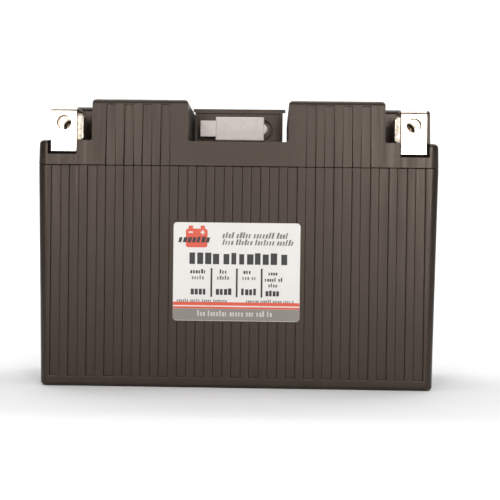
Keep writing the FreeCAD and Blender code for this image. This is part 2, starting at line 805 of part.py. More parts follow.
def make_cells():
    """Four flat cells in a row from front to back, each with two tabs, and foam between them."""
    for number in range(CELL_COUNT):
        here = cell_place(number)
        half = "Size.cell_thickness / 2"
        pouch = block(
            f"Pouch{number + 1}",
            ("-Size.cell_width / 2", "Size.cell_width / 2"),
            (f"{here} - {half}", f"{here} + {half}"),
            (CELL_FOOT, CELL_TOP),
        )
        thin = "Size.cell_tab_thickness / 2"
        depth = (f"{here} - {thin}", f"{here} + {thin}")
        tabs = [
            block(f"Tab{number + 1}{end}", tab_range(side), depth, (CELL_TOP, TAB_TOP))
            for end, side in (("Left", -1), ("Right", 1))
        ]
        keep(joined(f"Cell{number + 1}", pouch, *tabs), f"cell_{number + 1}")
        if number:
            before = cell_place(number - 1)
            sheet_of_foam = block(
                f"Foam{number}",
                ("-Size.cell_width / 2", "Size.cell_width / 2"),
                (f"{before} + {half}", f"{here} - {half}"),
                (CELL_FOOT, f"{CELL_TOP} - 2"),
            )
            keep(sheet_of_foam, f"separator_{number}")
    mat = block(
        "BaseMat",
        ("-Size.cell_width / 2 - 2", "Size.cell_width / 2 + 2"),
        ("-Size.cell_pitch * 2", "Size.cell_pitch * 2"),
        ("Size.base_thickness", CELL_FOOT),
    )
    keep(mat, "base_pad")


def make_bus_bars():
    """Bars that put the cells in series, on alternate ends, and the two leads to the terminals."""
    over = (TAB_TOP, f"{TAB_TOP} + Size.bus_thickness")
    lap = "Size.cell_tab_thickness"
    for number in range(1, CELL_COUNT):
        side = 1 if number % 2 else -1
        reach = (f"{cell_place(number - 1)} - {lap}", f"{cell_place(number)} + {lap}")
        keep(block(f"Bar{number}", tab_range(side), reach, over), f"bus_bar_{number}")

    half = "Size.lead_width / 2"
    deck = (f"{LEAD_TOP} - Size.bus_thickness", LEAD_TOP)
    riser = (TAB_TOP, deck[0])
    far = "(Size.terminal_middle + Size.strip_width / 2)"
    near = "(Size.terminal_middle - Size.strip_width / 2)"
    first, last = cell_place(0), cell_place(CELL_COUNT - 1)
    front_lane = (f"{first} - {half}", f"{first} + {half} + 1.4")
    back_lane = (f"{last} - {half}", f"{last} + {half}")
    positive = joined(
        "PositiveLead",
        block("PositiveRiser", tab_range(-1), front_lane, riser),
        block("PositiveDeck", (f"-{far}", "-Size.tab_middle + Size.cell_tab_width / 2"), front_lane, deck),
    )
    keep(positive, "positive_lead")
    negative = joined(
        "NegativeLead",
        block("NegativeRiser", tab_range(-1), back_lane, riser),
        block("NegativeDeck", ("-Size.tab_middle - Size.cell_tab_width / 2", far), back_lane, deck),
        block("NegativeReturn", (near, far), (f"{first} - {half}", back_lane[0]), deck),
    )
    keep(negative, "negative_lead")


# --------------------------------------------------------------- balance board


def wire(points, radius, bend):
    """A round wire along straight runs joined by arcs tangent to them."""
    path = []
    start = points[0]
    for corner, after in zip(points[1:-1], points[2:]):
        way_in = (corner - start).normalize()
        way_out = (after - corner).normalize()
        first = corner - way_in * bend
        last = corner + way_out * bend
        half_way = corner + (way_out - way_in).normalize() * bend * (math.sqrt(2) - 1)
        path.append(Part.LineSegment(start, first).toShape())
        path.append(Part.Arc(first, half_way, last).toShape())
        start = last
    path.append(Part.LineSegment(start, points[-1]).toShape())
    spine = Part.Wire(path)
    ring = Part.Wire(Part.Circle(points[0], points[1] - points[0], radius).toShape())
    return spine.makePipeShell([ring], True, True)


def make_balance_board():
    """Board under the port housing, with its chip and bleed resistors, and the wires above and below."""
    bottom = "(Size.notch_floor + Size.board_lift)"
    surface = f"({bottom} + Size.board_thickness)"
    half = "Size.board_width / 2"
    board = block(
        "Board",
        (f"-{half}", half),
        ("Size.board_front", "Size.board_front + Size.board_depth"),
        (bottom, surface),
    )
    keep(board, "balance_board")
    chip_deep = ("Size.chip_middle - Size.chip_depth / 2", "Size.chip_middle + Size.chip_depth / 2")
    chip_wide = ("-Size.chip_width / 2", "Size.chip_width / 2")
    chip = block("Chip", chip_wide, chip_deep, (surface, f"{surface} + Size.chip_height"))
    keep(chip, "balance_chip")
    resistors = doc.addObject("Part::Compound", "ResistorRow")
    resistor_rear = "Size.resistor_front + Size.resistor_depth"
    row = []
    for number in range(CELL_COUNT):
        place = f"{number - (CELL_COUNT - 1) / 2} * Size.resistor_pitch"
        wide = (f"{place} - Size.resistor_width / 2", f"{place} + Size.resistor_width / 2")
        deep = ("Size.resistor_front", resistor_rear)
        tall = (surface, f"{surface} + Size.resistor_height")
        row.append(block(f"Resistor{number + 1}", wide, deep, tall))
    resistors.Links = row
    keep(resistors, "balance_resistors")

    port = size("port_height")
    deck = value_of(surface)
    pin_end = size("socket_back") + size("pin_tail")
    down = pin_end + size("port_wire_reach")
    runs = []
    for number in range(PIN_COUNT):
        x = size("pin_pitch") * (number - (PIN_COUNT - 1) / 2)
        corners = [(x, pin_end, port), (x, down, port), (x, down, deck)]
        points = [FreeCAD.Vector(*corner) for corner in corners]
        runs.append(wire(points, size("port_wire_radius"), size("port_wire_bend")))
    keep(group_of("PortWires", runs), "port_wires")
    keep(group_of("SenseWires", sense_wires(value_of(bottom))), "sense_wires")


def sense_wires(board_bottom):
    """One wire from each joint of the cell stack up through the lid's slot to the board."""
    bus_top = value_of(f"{TAB_TOP} + Size.bus_thickness")
    lead_top = value_of(LEAD_TOP)
    lane = lead_top + size("sense_wire_lane")
    reach = size("tab_middle") - size("sense_wire_inset")
    first = value_of(cell_place(0))
    # For each wire: its side, its foot's height, and the depths and the distance from the
    # middle plane of its run up to the board.
    plans = [
        (1, bus_top, [-7.0], 3.0),
        (-1, bus_top, [0.0], 3.0),
        (1, bus_top, [8.0], 3.0),
        (-1, lead_top, [20.0], 1.0),
        (-1, lead_top, [first, -4.0], 1.0),
    ]
    runs = []
    for side, foot, depths, end in plans:
        corners = [(side * reach, depths[0], foot)]
        corners += [(side * reach, depth, lane) for depth in depths]
        corners += [(side * end, depths[-1], height) for height in (lane, board_bottom)]
        points = [FreeCAD.Vector(*corner) for corner in corners]
        runs.append(wire(points, size("sense_wire_radius"), size("sense_wire_bend")))
    return runs


# ----------------------------------------------------------------------- build


def faulty_objects():
    """Names of the objects that failed to compute, and of the sub-parts with a bad shape."""
    failed = [item.Name for item in doc.Objects if {"Invalid", "Error"} & set(item.State)]
    for name, item in subparts.items():
        if item.Shape.isNull() or not item.Shape.isValid():
            failed.append(name)
    return failed


make_case()
make_bond_bead()
make_lid()
make_terminals()
make_nuts()
make_port_housing()
make_port_socket()
make_dust_cap()
make_labels()
make_cells()
make_bus_bars()
make_balance_board()
doc.recompute()

faults = faulty_objects()
if faults:
    raise SystemExit(f"failed: {faults}")

os.makedirs("parts", exist_ok=True)
for name, item in subparts.items():
    item.Shape.exportStep(os.path.join("parts", name + ".step"))
    print(f"{name}: {len(item.Shape.Solids)} solid(s), {item.Shape.Volume:.0f} mm3")
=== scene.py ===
import math
import random

import bmesh
import bpy
from mathutils import Matrix, Vector


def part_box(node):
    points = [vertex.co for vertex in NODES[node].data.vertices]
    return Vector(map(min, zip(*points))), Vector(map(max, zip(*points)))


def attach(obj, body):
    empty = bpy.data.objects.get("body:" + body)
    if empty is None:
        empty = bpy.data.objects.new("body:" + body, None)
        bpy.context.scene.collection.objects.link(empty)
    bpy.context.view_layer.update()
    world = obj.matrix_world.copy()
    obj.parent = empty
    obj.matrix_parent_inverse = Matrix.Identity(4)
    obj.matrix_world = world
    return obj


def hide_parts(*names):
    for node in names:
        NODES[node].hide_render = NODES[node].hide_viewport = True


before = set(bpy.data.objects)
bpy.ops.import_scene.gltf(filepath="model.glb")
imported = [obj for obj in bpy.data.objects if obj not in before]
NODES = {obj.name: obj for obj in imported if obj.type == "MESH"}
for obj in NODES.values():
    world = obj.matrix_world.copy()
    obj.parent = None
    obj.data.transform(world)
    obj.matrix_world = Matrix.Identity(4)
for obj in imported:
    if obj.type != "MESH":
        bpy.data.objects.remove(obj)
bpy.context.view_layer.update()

# A sealed motorcycle battery, in metres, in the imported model's frame: X along it, the front faces -Y, Z up.
MM = 0.001
BATTERY, CAP_BODY = "battery", "dust_cap"
FRONT, REAR = -1, 1

# the case's shape, as the CAD has it, and the small bevel at its seam, which it hasn't
_, CASE_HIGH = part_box("case")
HALF_LONG, HALF_DEEP, SEAM = CASE_HIGH.x, CASE_HIGH.y, CASE_HIGH.z
DRAFT = math.radians(1.0)
CORNER = 3.0 * MM
WALL = 2.2 * MM
FLOOR = 2.5 * MM
BASE_ROUND = 1.4 * MM
INNER_CORNER = 0.1 * MM
SEAM_BEVEL = 0.35 * MM
GROOVE_PITCH = 6.72 * MM
GROOVE_WIDTH = 3.36 * MM
GROOVE_DEPTH = 0.75 * MM
GROOVE_BOTTOM = 4.0 * MM
BEAD_OUTSIDE, BEAD_INSIDE, BEAD_DEPTH = 1.1 * MM, 1.75 * MM, 0.8 * MM
FRONT_GROOVES, SIDE_GROOVES = 21, 9

# the lid's tower grooves: how far from the middle they lie, their least height, and their edges' roundness
TOWER_GROOVES_FROM, TOWER_GROOVES_TO = 24 * MM, 50 * MM
TOWER_GROOVE_LEAST = 10 * MM
GROOVE_SHOULDER = 0.3 * MM

# when a CAD mesh is copied: points this close are one, faces this nearly level are joined, edges that stand
# out by more than the hard angle are rolled over, and faces larger than the given area stay flat
MERGE = 0.001 * MM
LEVEL, HARD = math.radians(0.6), math.radians(35)
LARGE_FACE, SMALL_FACE = 25 * MM * MM, 4 * MM * MM

# how wide the rolled edges are on the moulded pieces, the rubber cap and the connector
MOULDED_EDGE, RUBBER_EDGE, CONNECTOR_EDGE = 0.16 * MM, 0.3 * MM, 0.12 * MM

# how a groove's edge rolls over and drops: distance outside the edge in mm, share of the depth there
GROOVE_EDGE = [
    (0.50, 0.0),
    (0.34, 0.02),
    (0.20, 0.08),
    (0.10, 0.18),
    (0.03, 0.32),
    (0.0, 0.48),
    (-0.02, 1.0),
    (-0.22, 1.0),
]


# ---------------------------------------------------------------- mesh helpers


def add_object(name, mesh, body=BATTERY):
    """A piece that rides on a body."""
    piece = bpy.data.objects.new(name, mesh)
    bpy.context.scene.collection.objects.link(piece)
    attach(piece, body)
    return piece


def smooth(piece, degrees=35, flat_over=None):
    """Smooth shading that breaks at sharp edges and leaves large faces flat."""
    piece.data.polygons.foreach_set("use_smooth", [True] * len(piece.data.polygons))
    piece.data.set_sharp_from_angle(angle=math.radians(degrees))
    if flat_over:
        for face in piece.data.polygons:
            face.use_smooth = face.area < flat_over
    else:
        modifier = piece.modifiers.new("FlatFaces", "WEIGHTED_NORMAL")
        modifier.keep_sharp = True
        modifier.weight = 80
    return piece


def mesh_from(name, work):
    """The finished mesh of a bmesh, which is freed."""
    mesh = bpy.data.meshes.new(name)
    work.to_mesh(mesh)
    work.free()
    return mesh


def copy_of(node):
    """A bmesh of a CAD node with its faces joined up."""
    work = bmesh.new()
    work.from_mesh(NODES[node].data)
    bmesh.ops.remove_doubles(work, verts=work.verts, dist=MERGE)
    return work


def bridge(work, rings, turned=False):
    """Skins closed rings of equal counts of points, one after another."""
    for near, far in zip(rings, rings[1:]):
        for i in range(len(near)):
            j = (i + 1) % len(near)
            if turned:
                work.faces.new((near[i], far[i], far[j], near[j]))
            else:
                work.faces.new((near[i], near[j], far[j], far[i]))


def roll_edges(work, edges, width, segments):
    """Rounds edges by a small bevel."""
    bmesh.ops.bevel(
        work,
        geom=edges,
        affect="EDGES",
        offset=width,
        offset_type="OFFSET",
        segments=segments,
        profile=0.5,
        clamp_overlap=True,
    )


def hard_edges(work):
    """The edges to roll over."""
    return [e for e in work.edges if e.is_convex and e.calc_face_angle(0) > HARD]


def softened(node, name, width, body=BATTERY, shoulders=None, flat_over=LARGE_FACE):
    """A copy of a CAD node with its hard edges rolled over, and those that shoulders picks rolled wider."""
    work = copy_of(node)
    bmesh.ops.dissolve_limit(work, angle_limit=LEVEL, verts=work.verts, edges=work.edges)
    if shoulders:
        roll_edges(work, [e for e in hard_edges(work) if shoulders(e)], GROOVE_SHOULDER, 1)
    roll_edges(work, hard_edges(work), width, 2)
    piece = smooth(add_object(name, mesh_from(name, work), body), flat_over=flat_over)
    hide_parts(node)
    return piece


# ------------------------------------------------------------------- materials


class Nodes:
    """A material's node tree. Scales are in turns per metre and heights in metres."""

    def __init__(self, name):
        self.material = bpy.data.materials.new(name)
        self.material.use_nodes = True
        self.tree = self.material.node_tree
        self.shader = self.tree.nodes["Principled BSDF"]
        self.place = self.add("ShaderNodeTexCoord").outputs["Object"]

    def add(self, kind, **settings):
        node = self.tree.nodes.new(kind)
        for key, value in settings.items():
            setattr(node, key, value)
        return node

    def link(self, source, target):
        self.tree.links.new(source, target)

    def stretched(self, scale):
        """Object coordinates scaled by three factors."""
        mapping = self.add("ShaderNodeMapping")
        mapping.inputs["Scale"].default_value = scale
        self.link(self.place, mapping.inputs["Vector"])
        return mapping.outputs["Vector"]

    def noise(self, scale, detail=3.0, roughness=0.5, stretch=(1, 1, 1)):
        node = self.add("ShaderNodeTexNoise")
        node.inputs["Scale"].default_value = scale
        node.inputs["Detail"].default_value = detail
        node.inputs["Roughness"].default_value = roughness
        self.link(self.stretched(stretch), node.inputs["Vector"])
        return node.outputs["Fac"]

    def ramp(self, source, low, high, start=0.0, end=1.0):
        """Maps a value to a span of numbers or colours."""
        node = self.add("ShaderNodeValToRGB")
        ends = node.color_ramp.elements
        ends[0].position, ends[1].position = start, end
        ends[0].color = (*low, 1) if isinstance(low, tuple) else (low, low, low, 1)
        ends[1].color = (*high, 1) if isinstance(high, tuple) else (high, high, high, 1)
        self.link(source, node.inputs["Fac"])
        return node.outputs["Color"]

    def bumps(self, *layers):
        """Height layers as (value, height in metres), one over another."""
        normal = None
        for value, height in layers:
            bump = self.add("ShaderNodeBump")
            bump.inputs["Strength"].default_value = 1.0
            bump.inputs["Distance"].default_value = height
            self.link(value, bump.inputs["Height"])
            if normal:
                self.link(normal, bump.inputs["Normal"])
            normal = bump.outputs["Normal"]
        self.link(normal, self.shader.inputs["Normal"])

    def set(self, **values):
        for key, value in values.items():
            socket = self.shader.inputs[key.replace("_", " ")]
            socket.default_value = value

    def colour(self, source):
        self.link(source, self.shader.inputs["Base Color"])

    def roughness(self, source):
        self.link(source, self.shader.inputs["Roughness"])


def moulded_plastic(name, colour, rough=0.5, grain=1.0, variation=0.12, sheen=(1.0, 1.0, 1.0), drag=False):
    """Moulded plastic: eroded grain, faint clouding and an uneven sheen, in upright streaks with drag."""
    n = Nodes(name)
    clouds = n.noise(38, 4, 0.55)
    grit = n.noise(2600, 2, 0.6)
    low = tuple(c * (1 - variation) for c in colour)
    high = tuple(min(c * (1 + variation), 1) for c in colour)
    n.colour(n.ramp(clouds, low, high, 0.3, 0.7))
    if drag:
        n.roughness(n.ramp(n.noise(650, 3, 0.6, (1, 1, 0.03)), rough - 0.07, rough + 0.07, 0.35, 0.65))
    else:
        n.roughness(n.ramp(n.noise(120, 3, 0.6), rough - 0.05, rough + 0.06, 0.3, 0.7))
    n.bumps((grit, 0.00002 * grain), (n.noise(700, 3, 0.6), 0.00003 * grain))
    n.set(IOR=1.5, Specular_Tint=(*sheen, 1))
    return n.material


def plated_metal(name, colour, rough, along):
    """Bright plating over rolled strip, with faint drawing lines along one direction."""
    n = Nodes(name)
    stretch = tuple(0.06 if axis == along else 1.0 for axis in "XYZ")
    lines = n.noise(5200, 2, 0.6, stretch)
    clouds = n.noise(160, 3, 0.5)
    low = tuple(c * 0.94 for c in colour)
    n.colour(n.ramp(clouds, low, colour, 0.35, 0.65))
    n.roughness(n.ramp(lines, rough * 0.75, rough * 1.3, 0.3, 0.7))
    n.bumps((lines, 0.0000025), (clouds, 0.00004))
    n.set(Metallic=1.0)
    return n.material


def soft_rubber(name, colour):
    """Silicone: slightly translucent, with a dry bloom that shows as mottling."""
    n = Nodes(name)
    mottling = n.noise(420, 4, 0.65)
    low = tuple(c * 0.93 for c in colour)
    high = tuple(min(c * 1.05, 1) for c in colour)
    n.colour(n.ramp(mottling, low, high, 0.35, 0.65))
    n.roughness(n.ramp(n.noise(300, 2), 0.5, 0.68, 0.3, 0.7))
    n.bumps((n.noise(1500, 3, 0.6), 0.00003))
    n.set(Subsurface_Weight=0.15, Subsurface_Radius=(0.6, 0.5, 0.45), Subsurface_Scale=0.0015)
    return n.material


def label_film(name, colour, rough=0.32):
    """Laminated print: a smooth film with slight orange peel."""
    n = Nodes(name)
    low = tuple(c * 0.975 for c in colour)
    n.colour(n.ramp(n.noise(60, 3), low, colour, 0.35, 0.65))
    n.roughness(n.ramp(n.noise(90, 3), rough - 0.04, rough + 0.06, 0.3, 0.7))
    n.bumps((n.noise(900, 2), 0.000006))
    return n.material


def foam_block(name, colour):
    """Open foam, or the near-black matt block of painted shade in the terminals' slots, without any gloss."""
    n = Nodes(name)
    cells = n.add("ShaderNodeTexVoronoi")
    cells.inputs["Scale"].default_value = 1400
    n.link(n.place, cells.inputs["Vector"])
    n.colour(n.ramp(cells.outputs["Distance"], colour, tuple(c * 1.6 for c in colour)))
    n.bumps((cells.outputs["Distance"], 0.0002))
    n.set(Roughness=0.9, Specular_IOR_Level=0.1)
    return n.material


def pouch_foil(name, colour):
    """Creased laminate foil."""
    n = Nodes(name)
    creases = n.noise(60, 5, 0.6, (1, 1, 0.4))
    n.colour(n.ramp(creases, tuple(c * 0.9 for c in colour), colour, 0.3, 0.7))
    n.roughness(n.ramp(creases, 0.28, 0.45))
    n.bumps((creases, 0.0004))
    n.set(Metallic=0.9)
    return n.material


def circuit_board(name, colour):
    """Lacquered laminate over a lattice of tracks."""
    n = Nodes(name)
    tracks = n.add("ShaderNodeTexBrick")
    tracks.inputs["Scale"].default_value = 260
    tracks.inputs["Mortar Size"].default_value = 0.09
    tracks.inputs["Color1"].default_value = (*colour, 1)
    tracks.inputs["Color2"].default_value = (*colour, 1)
    tracks.inputs["Mortar"].default_value = (*(c * 1.8 for c in colour), 1)
    n.link(n.place, tracks.inputs["Vector"])
    n.colour(tracks.outputs["Color"])
    n.set(Roughness=0.35)
    return n.material


WARM_SHEEN = (0.977, 0.794, 0.674)
HOUSING = moulded_plastic("HousingPlastic", (0.014, 0.0095, 0.007), rough=0.38, sheen=WARM_SHEEN, drag=True)
PLATING = plated_metal("TerminalPlating", (0.74, 0.65, 0.56), 0.24, "Z")
# the nuts' plating is darker than the terminals' plating: painted shade for the nuts that sit in shadow
# behind the plates
SHADED_NUT_PLATING = plated_metal("NutPlatingPaintedShade", (0.42, 0.365, 0.305), 0.28, "X")
CAP_RUBBER = soft_rubber("CapRubber", (0.605, 0.55, 0.515))
CONNECTOR = moulded_plastic("ConnectorNylon", (0.68, 0.65, 0.58), rough=0.42, grain=0.5, variation=0.04)
PIN_METAL = plated_metal("PinTin", (0.84, 0.80, 0.70), 0.2, "Y")
FILM = label_film("LabelFilm", (0.692, 0.668, 0.64))
INK_DARK = label_film("InkDark", (0.016, 0.015, 0.014))
INK_SOFT = label_film("InkSoft", (0.15, 0.14, 0.13))
INK_GREY = label_film("InkGrey", (0.21, 0.19, 0.165))
INK_PALE = label_film("InkPale", (0.50, 0.47, 0.43))
INK_RED = label_film("InkRed", (0.62, 0.075, 0.035))
ADHESIVE = moulded_plastic("BondAdhesive", (0.012, 0.012, 0.012), rough=0.3, grain=0.4)
# a near-black, glossless block in the terminals' slots: painted shade
SLOT_SHADE_FILL = foam_block("SlotPaintedShade", (0.003, 0.002, 0.0015))
POUCH = pouch_foil("CellPouch", (0.72, 0.73, 0.75))
FOAM = foam_block("PackFoam", (0.03, 0.03, 0.032))
COPPER = plated_metal("BusCopper", (0.80, 0.50, 0.33), 0.3, "Y")
BOARD = circuit_board("BoardLaminate", (0.012, 0.075, 0.03))
CHIP = moulded_plastic("ChipResin", (0.012, 0.012, 0.013), rough=0.45, grain=0.5)
WIRE = moulded_plastic("WireJacket", (0.32, 0.02, 0.015), rough=0.4, grain=0.3)


def finish_node(node, material):
    """Gives a CAD node, or a piece that stands for it, its material."""
    piece = NODES[node] if isinstance(node, str) else node
    piece.data.materials.clear()
    piece.data.materials.append(material)


# ------------------------------------------------------------------------ case


def groove_columns(count, reach):
    """Places along one wall and the share of the groove's depth there, between the corner arcs."""
    columns = [(-reach, 0.0)]
    half = GROOVE_WIDTH / 2
    for number in range(count):
        middle = (number - (count - 1) / 2) * GROOVE_PITCH
        left = [(middle - half - out * MM, share) for out, share in GROOVE_EDGE]
        right = [(middle + half + out * MM, share) for out, share in reversed(GROOVE_EDGE)]
        columns += left + right
    columns.append((reach, 0.0))
    return columns


def case_outline(height, inset, depth, radius):
    """One level of the case, anticlockwise from the front left."""
    lean = (SEAM - height) * math.tan(DRAFT)
    long, deep = HALF_LONG - lean - inset, HALF_DEEP - lean - inset
    flat_x, flat_y = long - radius, deep - radius
    points = []
    walls = [
        (FRONT_GROOVES, flat_x, lambda along, into: (along, -deep + into), -90),
        (SIDE_GROOVES, flat_y, lambda along, into: (long - into, along), 0),
        (FRONT_GROOVES, flat_x, lambda along, into: (-along, deep - into), 90),
        (SIDE_GROOVES, flat_y, lambda along, into: (-long + into, -along), 180),
    ]
    centres = [(flat_x, -flat_y), (flat_x, flat_y), (-flat_x, flat_y), (-flat_x, -flat_y)]
    for (count, reach, place, turn), (cx, cy) in zip(walls, centres):
        for along, share in groove_columns(count, reach):
            x, y = place(along, share * depth)
            points.append((x, y, height))
        for step in range(1, 8):
            angle = math.radians(turn + 90 * step / 8)
            points.append((cx + radius * math.cos(angle), cy + radius * math.sin(angle), height))
    return points


def case_levels():
    """Heights up the skin, each with its inset, the grooves' depth and the corner's radius."""
    levels = []
    for step in range(7):
        angle = math.radians(90 * step / 6)
        inset = BASE_ROUND * (1 - math.sin(angle))
        levels.append((BASE_ROUND * (1 - math.cos(angle)), inset, 0.0, CORNER - inset))
    levels += [(GROOVE_BOTTOM - out * MM, 0.0, share * GROOVE_DEPTH, CORNER) for out, share in GROOVE_EDGE]
    levels += [(height * MM, 0.0, GROOVE_DEPTH, CORNER) for height in (20, 40, 60)]
    levels.append((SEAM - SEAM_BEVEL, 0.0, GROOVE_DEPTH, CORNER))
    levels.append((SEAM, SEAM_BEVEL, GROOVE_DEPTH, CORNER - SEAM_BEVEL))
    channel = SEAM - BEAD_DEPTH
    for height, inset in (
        (SEAM, BEAD_OUTSIDE),
        (channel, BEAD_OUTSIDE),
        (channel, BEAD_INSIDE),
        (SEAM, BEAD_INSIDE),
        (SEAM, WALL),
        (FLOOR, WALL),
    ):
        levels.append((height, inset, 0.0, INNER_CORNER))
    return levels


def make_case():
    """The tub: its skin from the base up to the rim, over the bead's channel and down the inside."""
    work = bmesh.new()
    rings = [[work.verts.new(p) for p in case_outline(*level)] for level in case_levels()]
    bridge(work, rings)
    work.faces.new(list(reversed(rings[0])))
    work.faces.new(rings[-1])
    case = smooth(add_object("case_shell", mesh_from("case_shell", work)), degrees=40)
    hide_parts("case")
    finish_node(case, HOUSING)


def groove_shoulder(edge):
    """Whether the edge is where a groove of a tower meets the tower's front or rear face."""
    low, high = sorted(v.co.z for v in edge.verts)
    ends = [v.co for v in edge.verts]
    upright = max(abs(ends[0].x - ends[1].x), abs(ends[0].y - ends[1].y)) < 0.05 * (high - low)
    on_tower = TOWER_GROOVES_FROM < abs(ends[0].x) < TOWER_GROOVES_TO
    return upright and high - low > TOWER_GROOVE_LEAST and on_tower and low < SEAM + 2 * MM


make_case()
lid = softened("lid", "lid_cover", MOULDED_EDGE, shoulders=groove_shoulder)
finish_node(lid, HOUSING)
port_housing = softened("port_housing", "port_block", MOULDED_EDGE)
finish_node(port_housing, HOUSING)


# ---------------------------------------------------------------------- labels

# the labels' place, how far their faces stand off the wall, and the print's thickness and gap
LABEL_LOW, LABEL_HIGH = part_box("front_label")
LABEL_MIDDLE = (LABEL_LOW.x + LABEL_HIGH.x) / 2
LABEL_HALF_WIDE = (LABEL_HIGH.x - LABEL_LOW.x) / 2
LABEL_HALF_TALL = (LABEL_HIGH.z - LABEL_LOW.z) / 2
LABEL_HEIGHT = (LABEL_LOW.z + LABEL_HIGH.z) / 2
LABEL_STAND = 0.22 * MM
INK = 0.02 * MM
PRINT_LIFT = 0.01 * MM


def print_matrix(side):
    """Turns label coordinates, u to the right, v up and w outwards, to the front or the rear label."""
    face = HALF_DEEP - (SEAM - LABEL_HEIGHT) * math.tan(DRAFT) + LABEL_STAND / math.cos(DRAFT)
    out = Vector((0, side * math.cos(DRAFT), -math.sin(DRAFT)))
    up = Vector((0, side * math.sin(DRAFT), math.cos(DRAFT)))
    right = up.cross(out)
    turn = Matrix((right, up, out)).transposed().to_4x4()
    return Matrix.Translation((LABEL_MIDDLE, side * face, LABEL_HEIGHT)) @ turn


class Print:
    """One colour of ink on a label, built up as thin closed slips."""

    def __init__(self, name, side, material):
        self.name, self.side, self.material = name, side, material
        self.work = bmesh.new()

    def shape(self, points, layer=0):
        """A slip with the outline given in millimetres."""
        low = PRINT_LIFT + layer * INK
        bottom = [self.work.verts.new((u * MM, v * MM, low)) for u, v in points]
        top = [self.work.verts.new((u * MM, v * MM, low + INK)) for u, v in points]
        self.work.faces.new(list(reversed(bottom)))
        self.work.faces.new(top)
        bridge(self.work, [bottom, top])

    def bar(self, left, right, low, high, radius=0.0, slant=0.0, layer=0, square_top=False):
        """A bar, with round corners where a radius is given, that leans to the right by slant."""
        radius = min(radius, (right - left) / 2, (high - low) / 2)
        corners = []
        turns = [(right, low, -1, 1), (right, high, -1, -1), (left, high, 1, -1), (left, low, 1, 1)]
        for quarter, (u, v, to_right, up) in enumerate(turns):
            if radius <= 0 or (square_top and v == high):
                corners.append((u, v))
                continue
            for step in range(5):
                angle = math.radians(-90 + 90 * quarter + 90 * step / 4)
                place = (math.cos(angle) + to_right, math.sin(angle) + up)
                corners.append((u + radius * place[0], v + radius * place[1]))
        self.shape([(u + (v - low) * slant, v) for u, v in corners], layer)

    def words(self, row, seed, slant=0.0, pitch=0.62, bold=False, layer=0):
        """A row of marks with word gaps that stands for a line of print without spelling anything."""
        left, right, low, high = row
        dice = random.Random(seed)
        thin, thick = (0.62, 0.84) if bold else (0.45, 0.75)
        short = 0.9 if bold else 0.72
        place, tall = left, high - low
        while place + pitch * tall < right:
            for _ in range(dice.randint(3, 7)):
                wide = tall * pitch * dice.uniform(thin, thick)
                if place + wide > right:
                    break
                rise = tall * dice.choice((short, short, short, 1.0))
                self.bar(place, place + wide, low, low + rise, slant=slant, layer=layer)
                place += tall * pitch
            place += tall * pitch * (0.35 if bold else 0.7)

    def done(self):
        """Puts the slips on their label as one piece."""
        self.work.transform(print_matrix(self.side))
        piece = add_object(self.name, mesh_from(self.name, self.work))
        finish_node(piece, self.material)


# The layout, in millimetres from a label's middle. A row is its left, right, low and high sides.
WIDE, TALL = LABEL_HALF_WIDE / MM, LABEL_HALF_TALL / MM
PRINT_LEFT, PRINT_RIGHT = -WIDE + 0.05, WIDE - 0.05
SIGN_BODY, SIGN_ROUND = (-18.8, -10.8, 8.9, 15.8), 0.9
SIGN_POLES = ((-17.8, -16.2, 15.8, 16.9), (-13.4, -11.8, 15.8, 16.9))
SIGN_MINUS = (-17.8, -16.2, 14.2, 14.7)
SIGN_PLUS_ACROSS, SIGN_PLUS_UP = (-13.4, -12.85, -12.35, -11.8), (13.65, 14.2, 14.7, 15.25)
SIGN_ROW = (-21.6, -8.4, 10.7, 12.8)
STRIPES = ((-12.45, -11.2), (-13.6, -12.9))
HEADLINE = (-17.4, 19.4, 2.75, 7.0)
TAG_LINES = (((-5.4, 19.4, 12.4, 14.6), 3), ((-5.4, 21.0, 9.9, 12.0), 8))
SMALL_PRINT = (((-21.9, -2.3, -11.2, -10.0), 61), ((3.7, 21.4, -11.2, -10.1), 62))
RULES, RULE_HALF, RULE_LOW, RULE_HIGH = (-9.2, 0.15, 9.3), 0.34, -9.3, 1.3
COLUMNS = ((-13.9, 3.1), (-4.6, 1.6), (4.7, 2.1))
LAST_COLUMN, LAST_ROWS = 13.7, ((1.9, -1.1), (3.2, -3.4), (1.9, -5.5))
UNIT_HALF, VALUE_HALF = 2.5, 2.9
BAND_TOP, BAND_ROUND, BAND_ROW = -13.65, 1.1, (-14.3, 14.1, -16.4, -14.3)
REAR_STRIPE, REAR_TITLE = (12.0, 13.4), (-12.0, 12.0, 14.3, 16.6)
REAR_ROWS, REAR_TOP, REAR_STEP, REAR_TALL, REAR_HALF = 10, 9.4, 2.5, 1.3, 21.0


def around(middle, half, low, high):
    """A row centred on a column."""
    return middle - half, middle + half, low, high


def print_emblem():
    """A battery sign with its two poles' marks, and two stripes in the same red below the print."""
    red = Print("label_print_red", FRONT, INK_RED)
    red.bar(*SIGN_BODY, SIGN_ROUND)
    for pole in SIGN_POLES:
        red.bar(*pole, 0.2)
    for low, high in STRIPES:
        red.bar(PRINT_LEFT, PRINT_RIGHT, low, high)
    red.done()
    sign = Print("label_print_sign", FRONT, FILM)
    sign.bar(*SIGN_MINUS, layer=1)
    u0, u1, u2, u3 = SIGN_PLUS_ACROSS
    v0, v1, v2, v3 = SIGN_PLUS_UP
    plus = [(u0, v1), (u1, v1), (u1, v0), (u2, v0), (u2, v1), (u3, v1)]
    plus += [(u3, v2), (u2, v2), (u2, v3), (u1, v3), (u1, v2), (u0, v2)]
    sign.shape(plus, layer=1)
    sign.done()


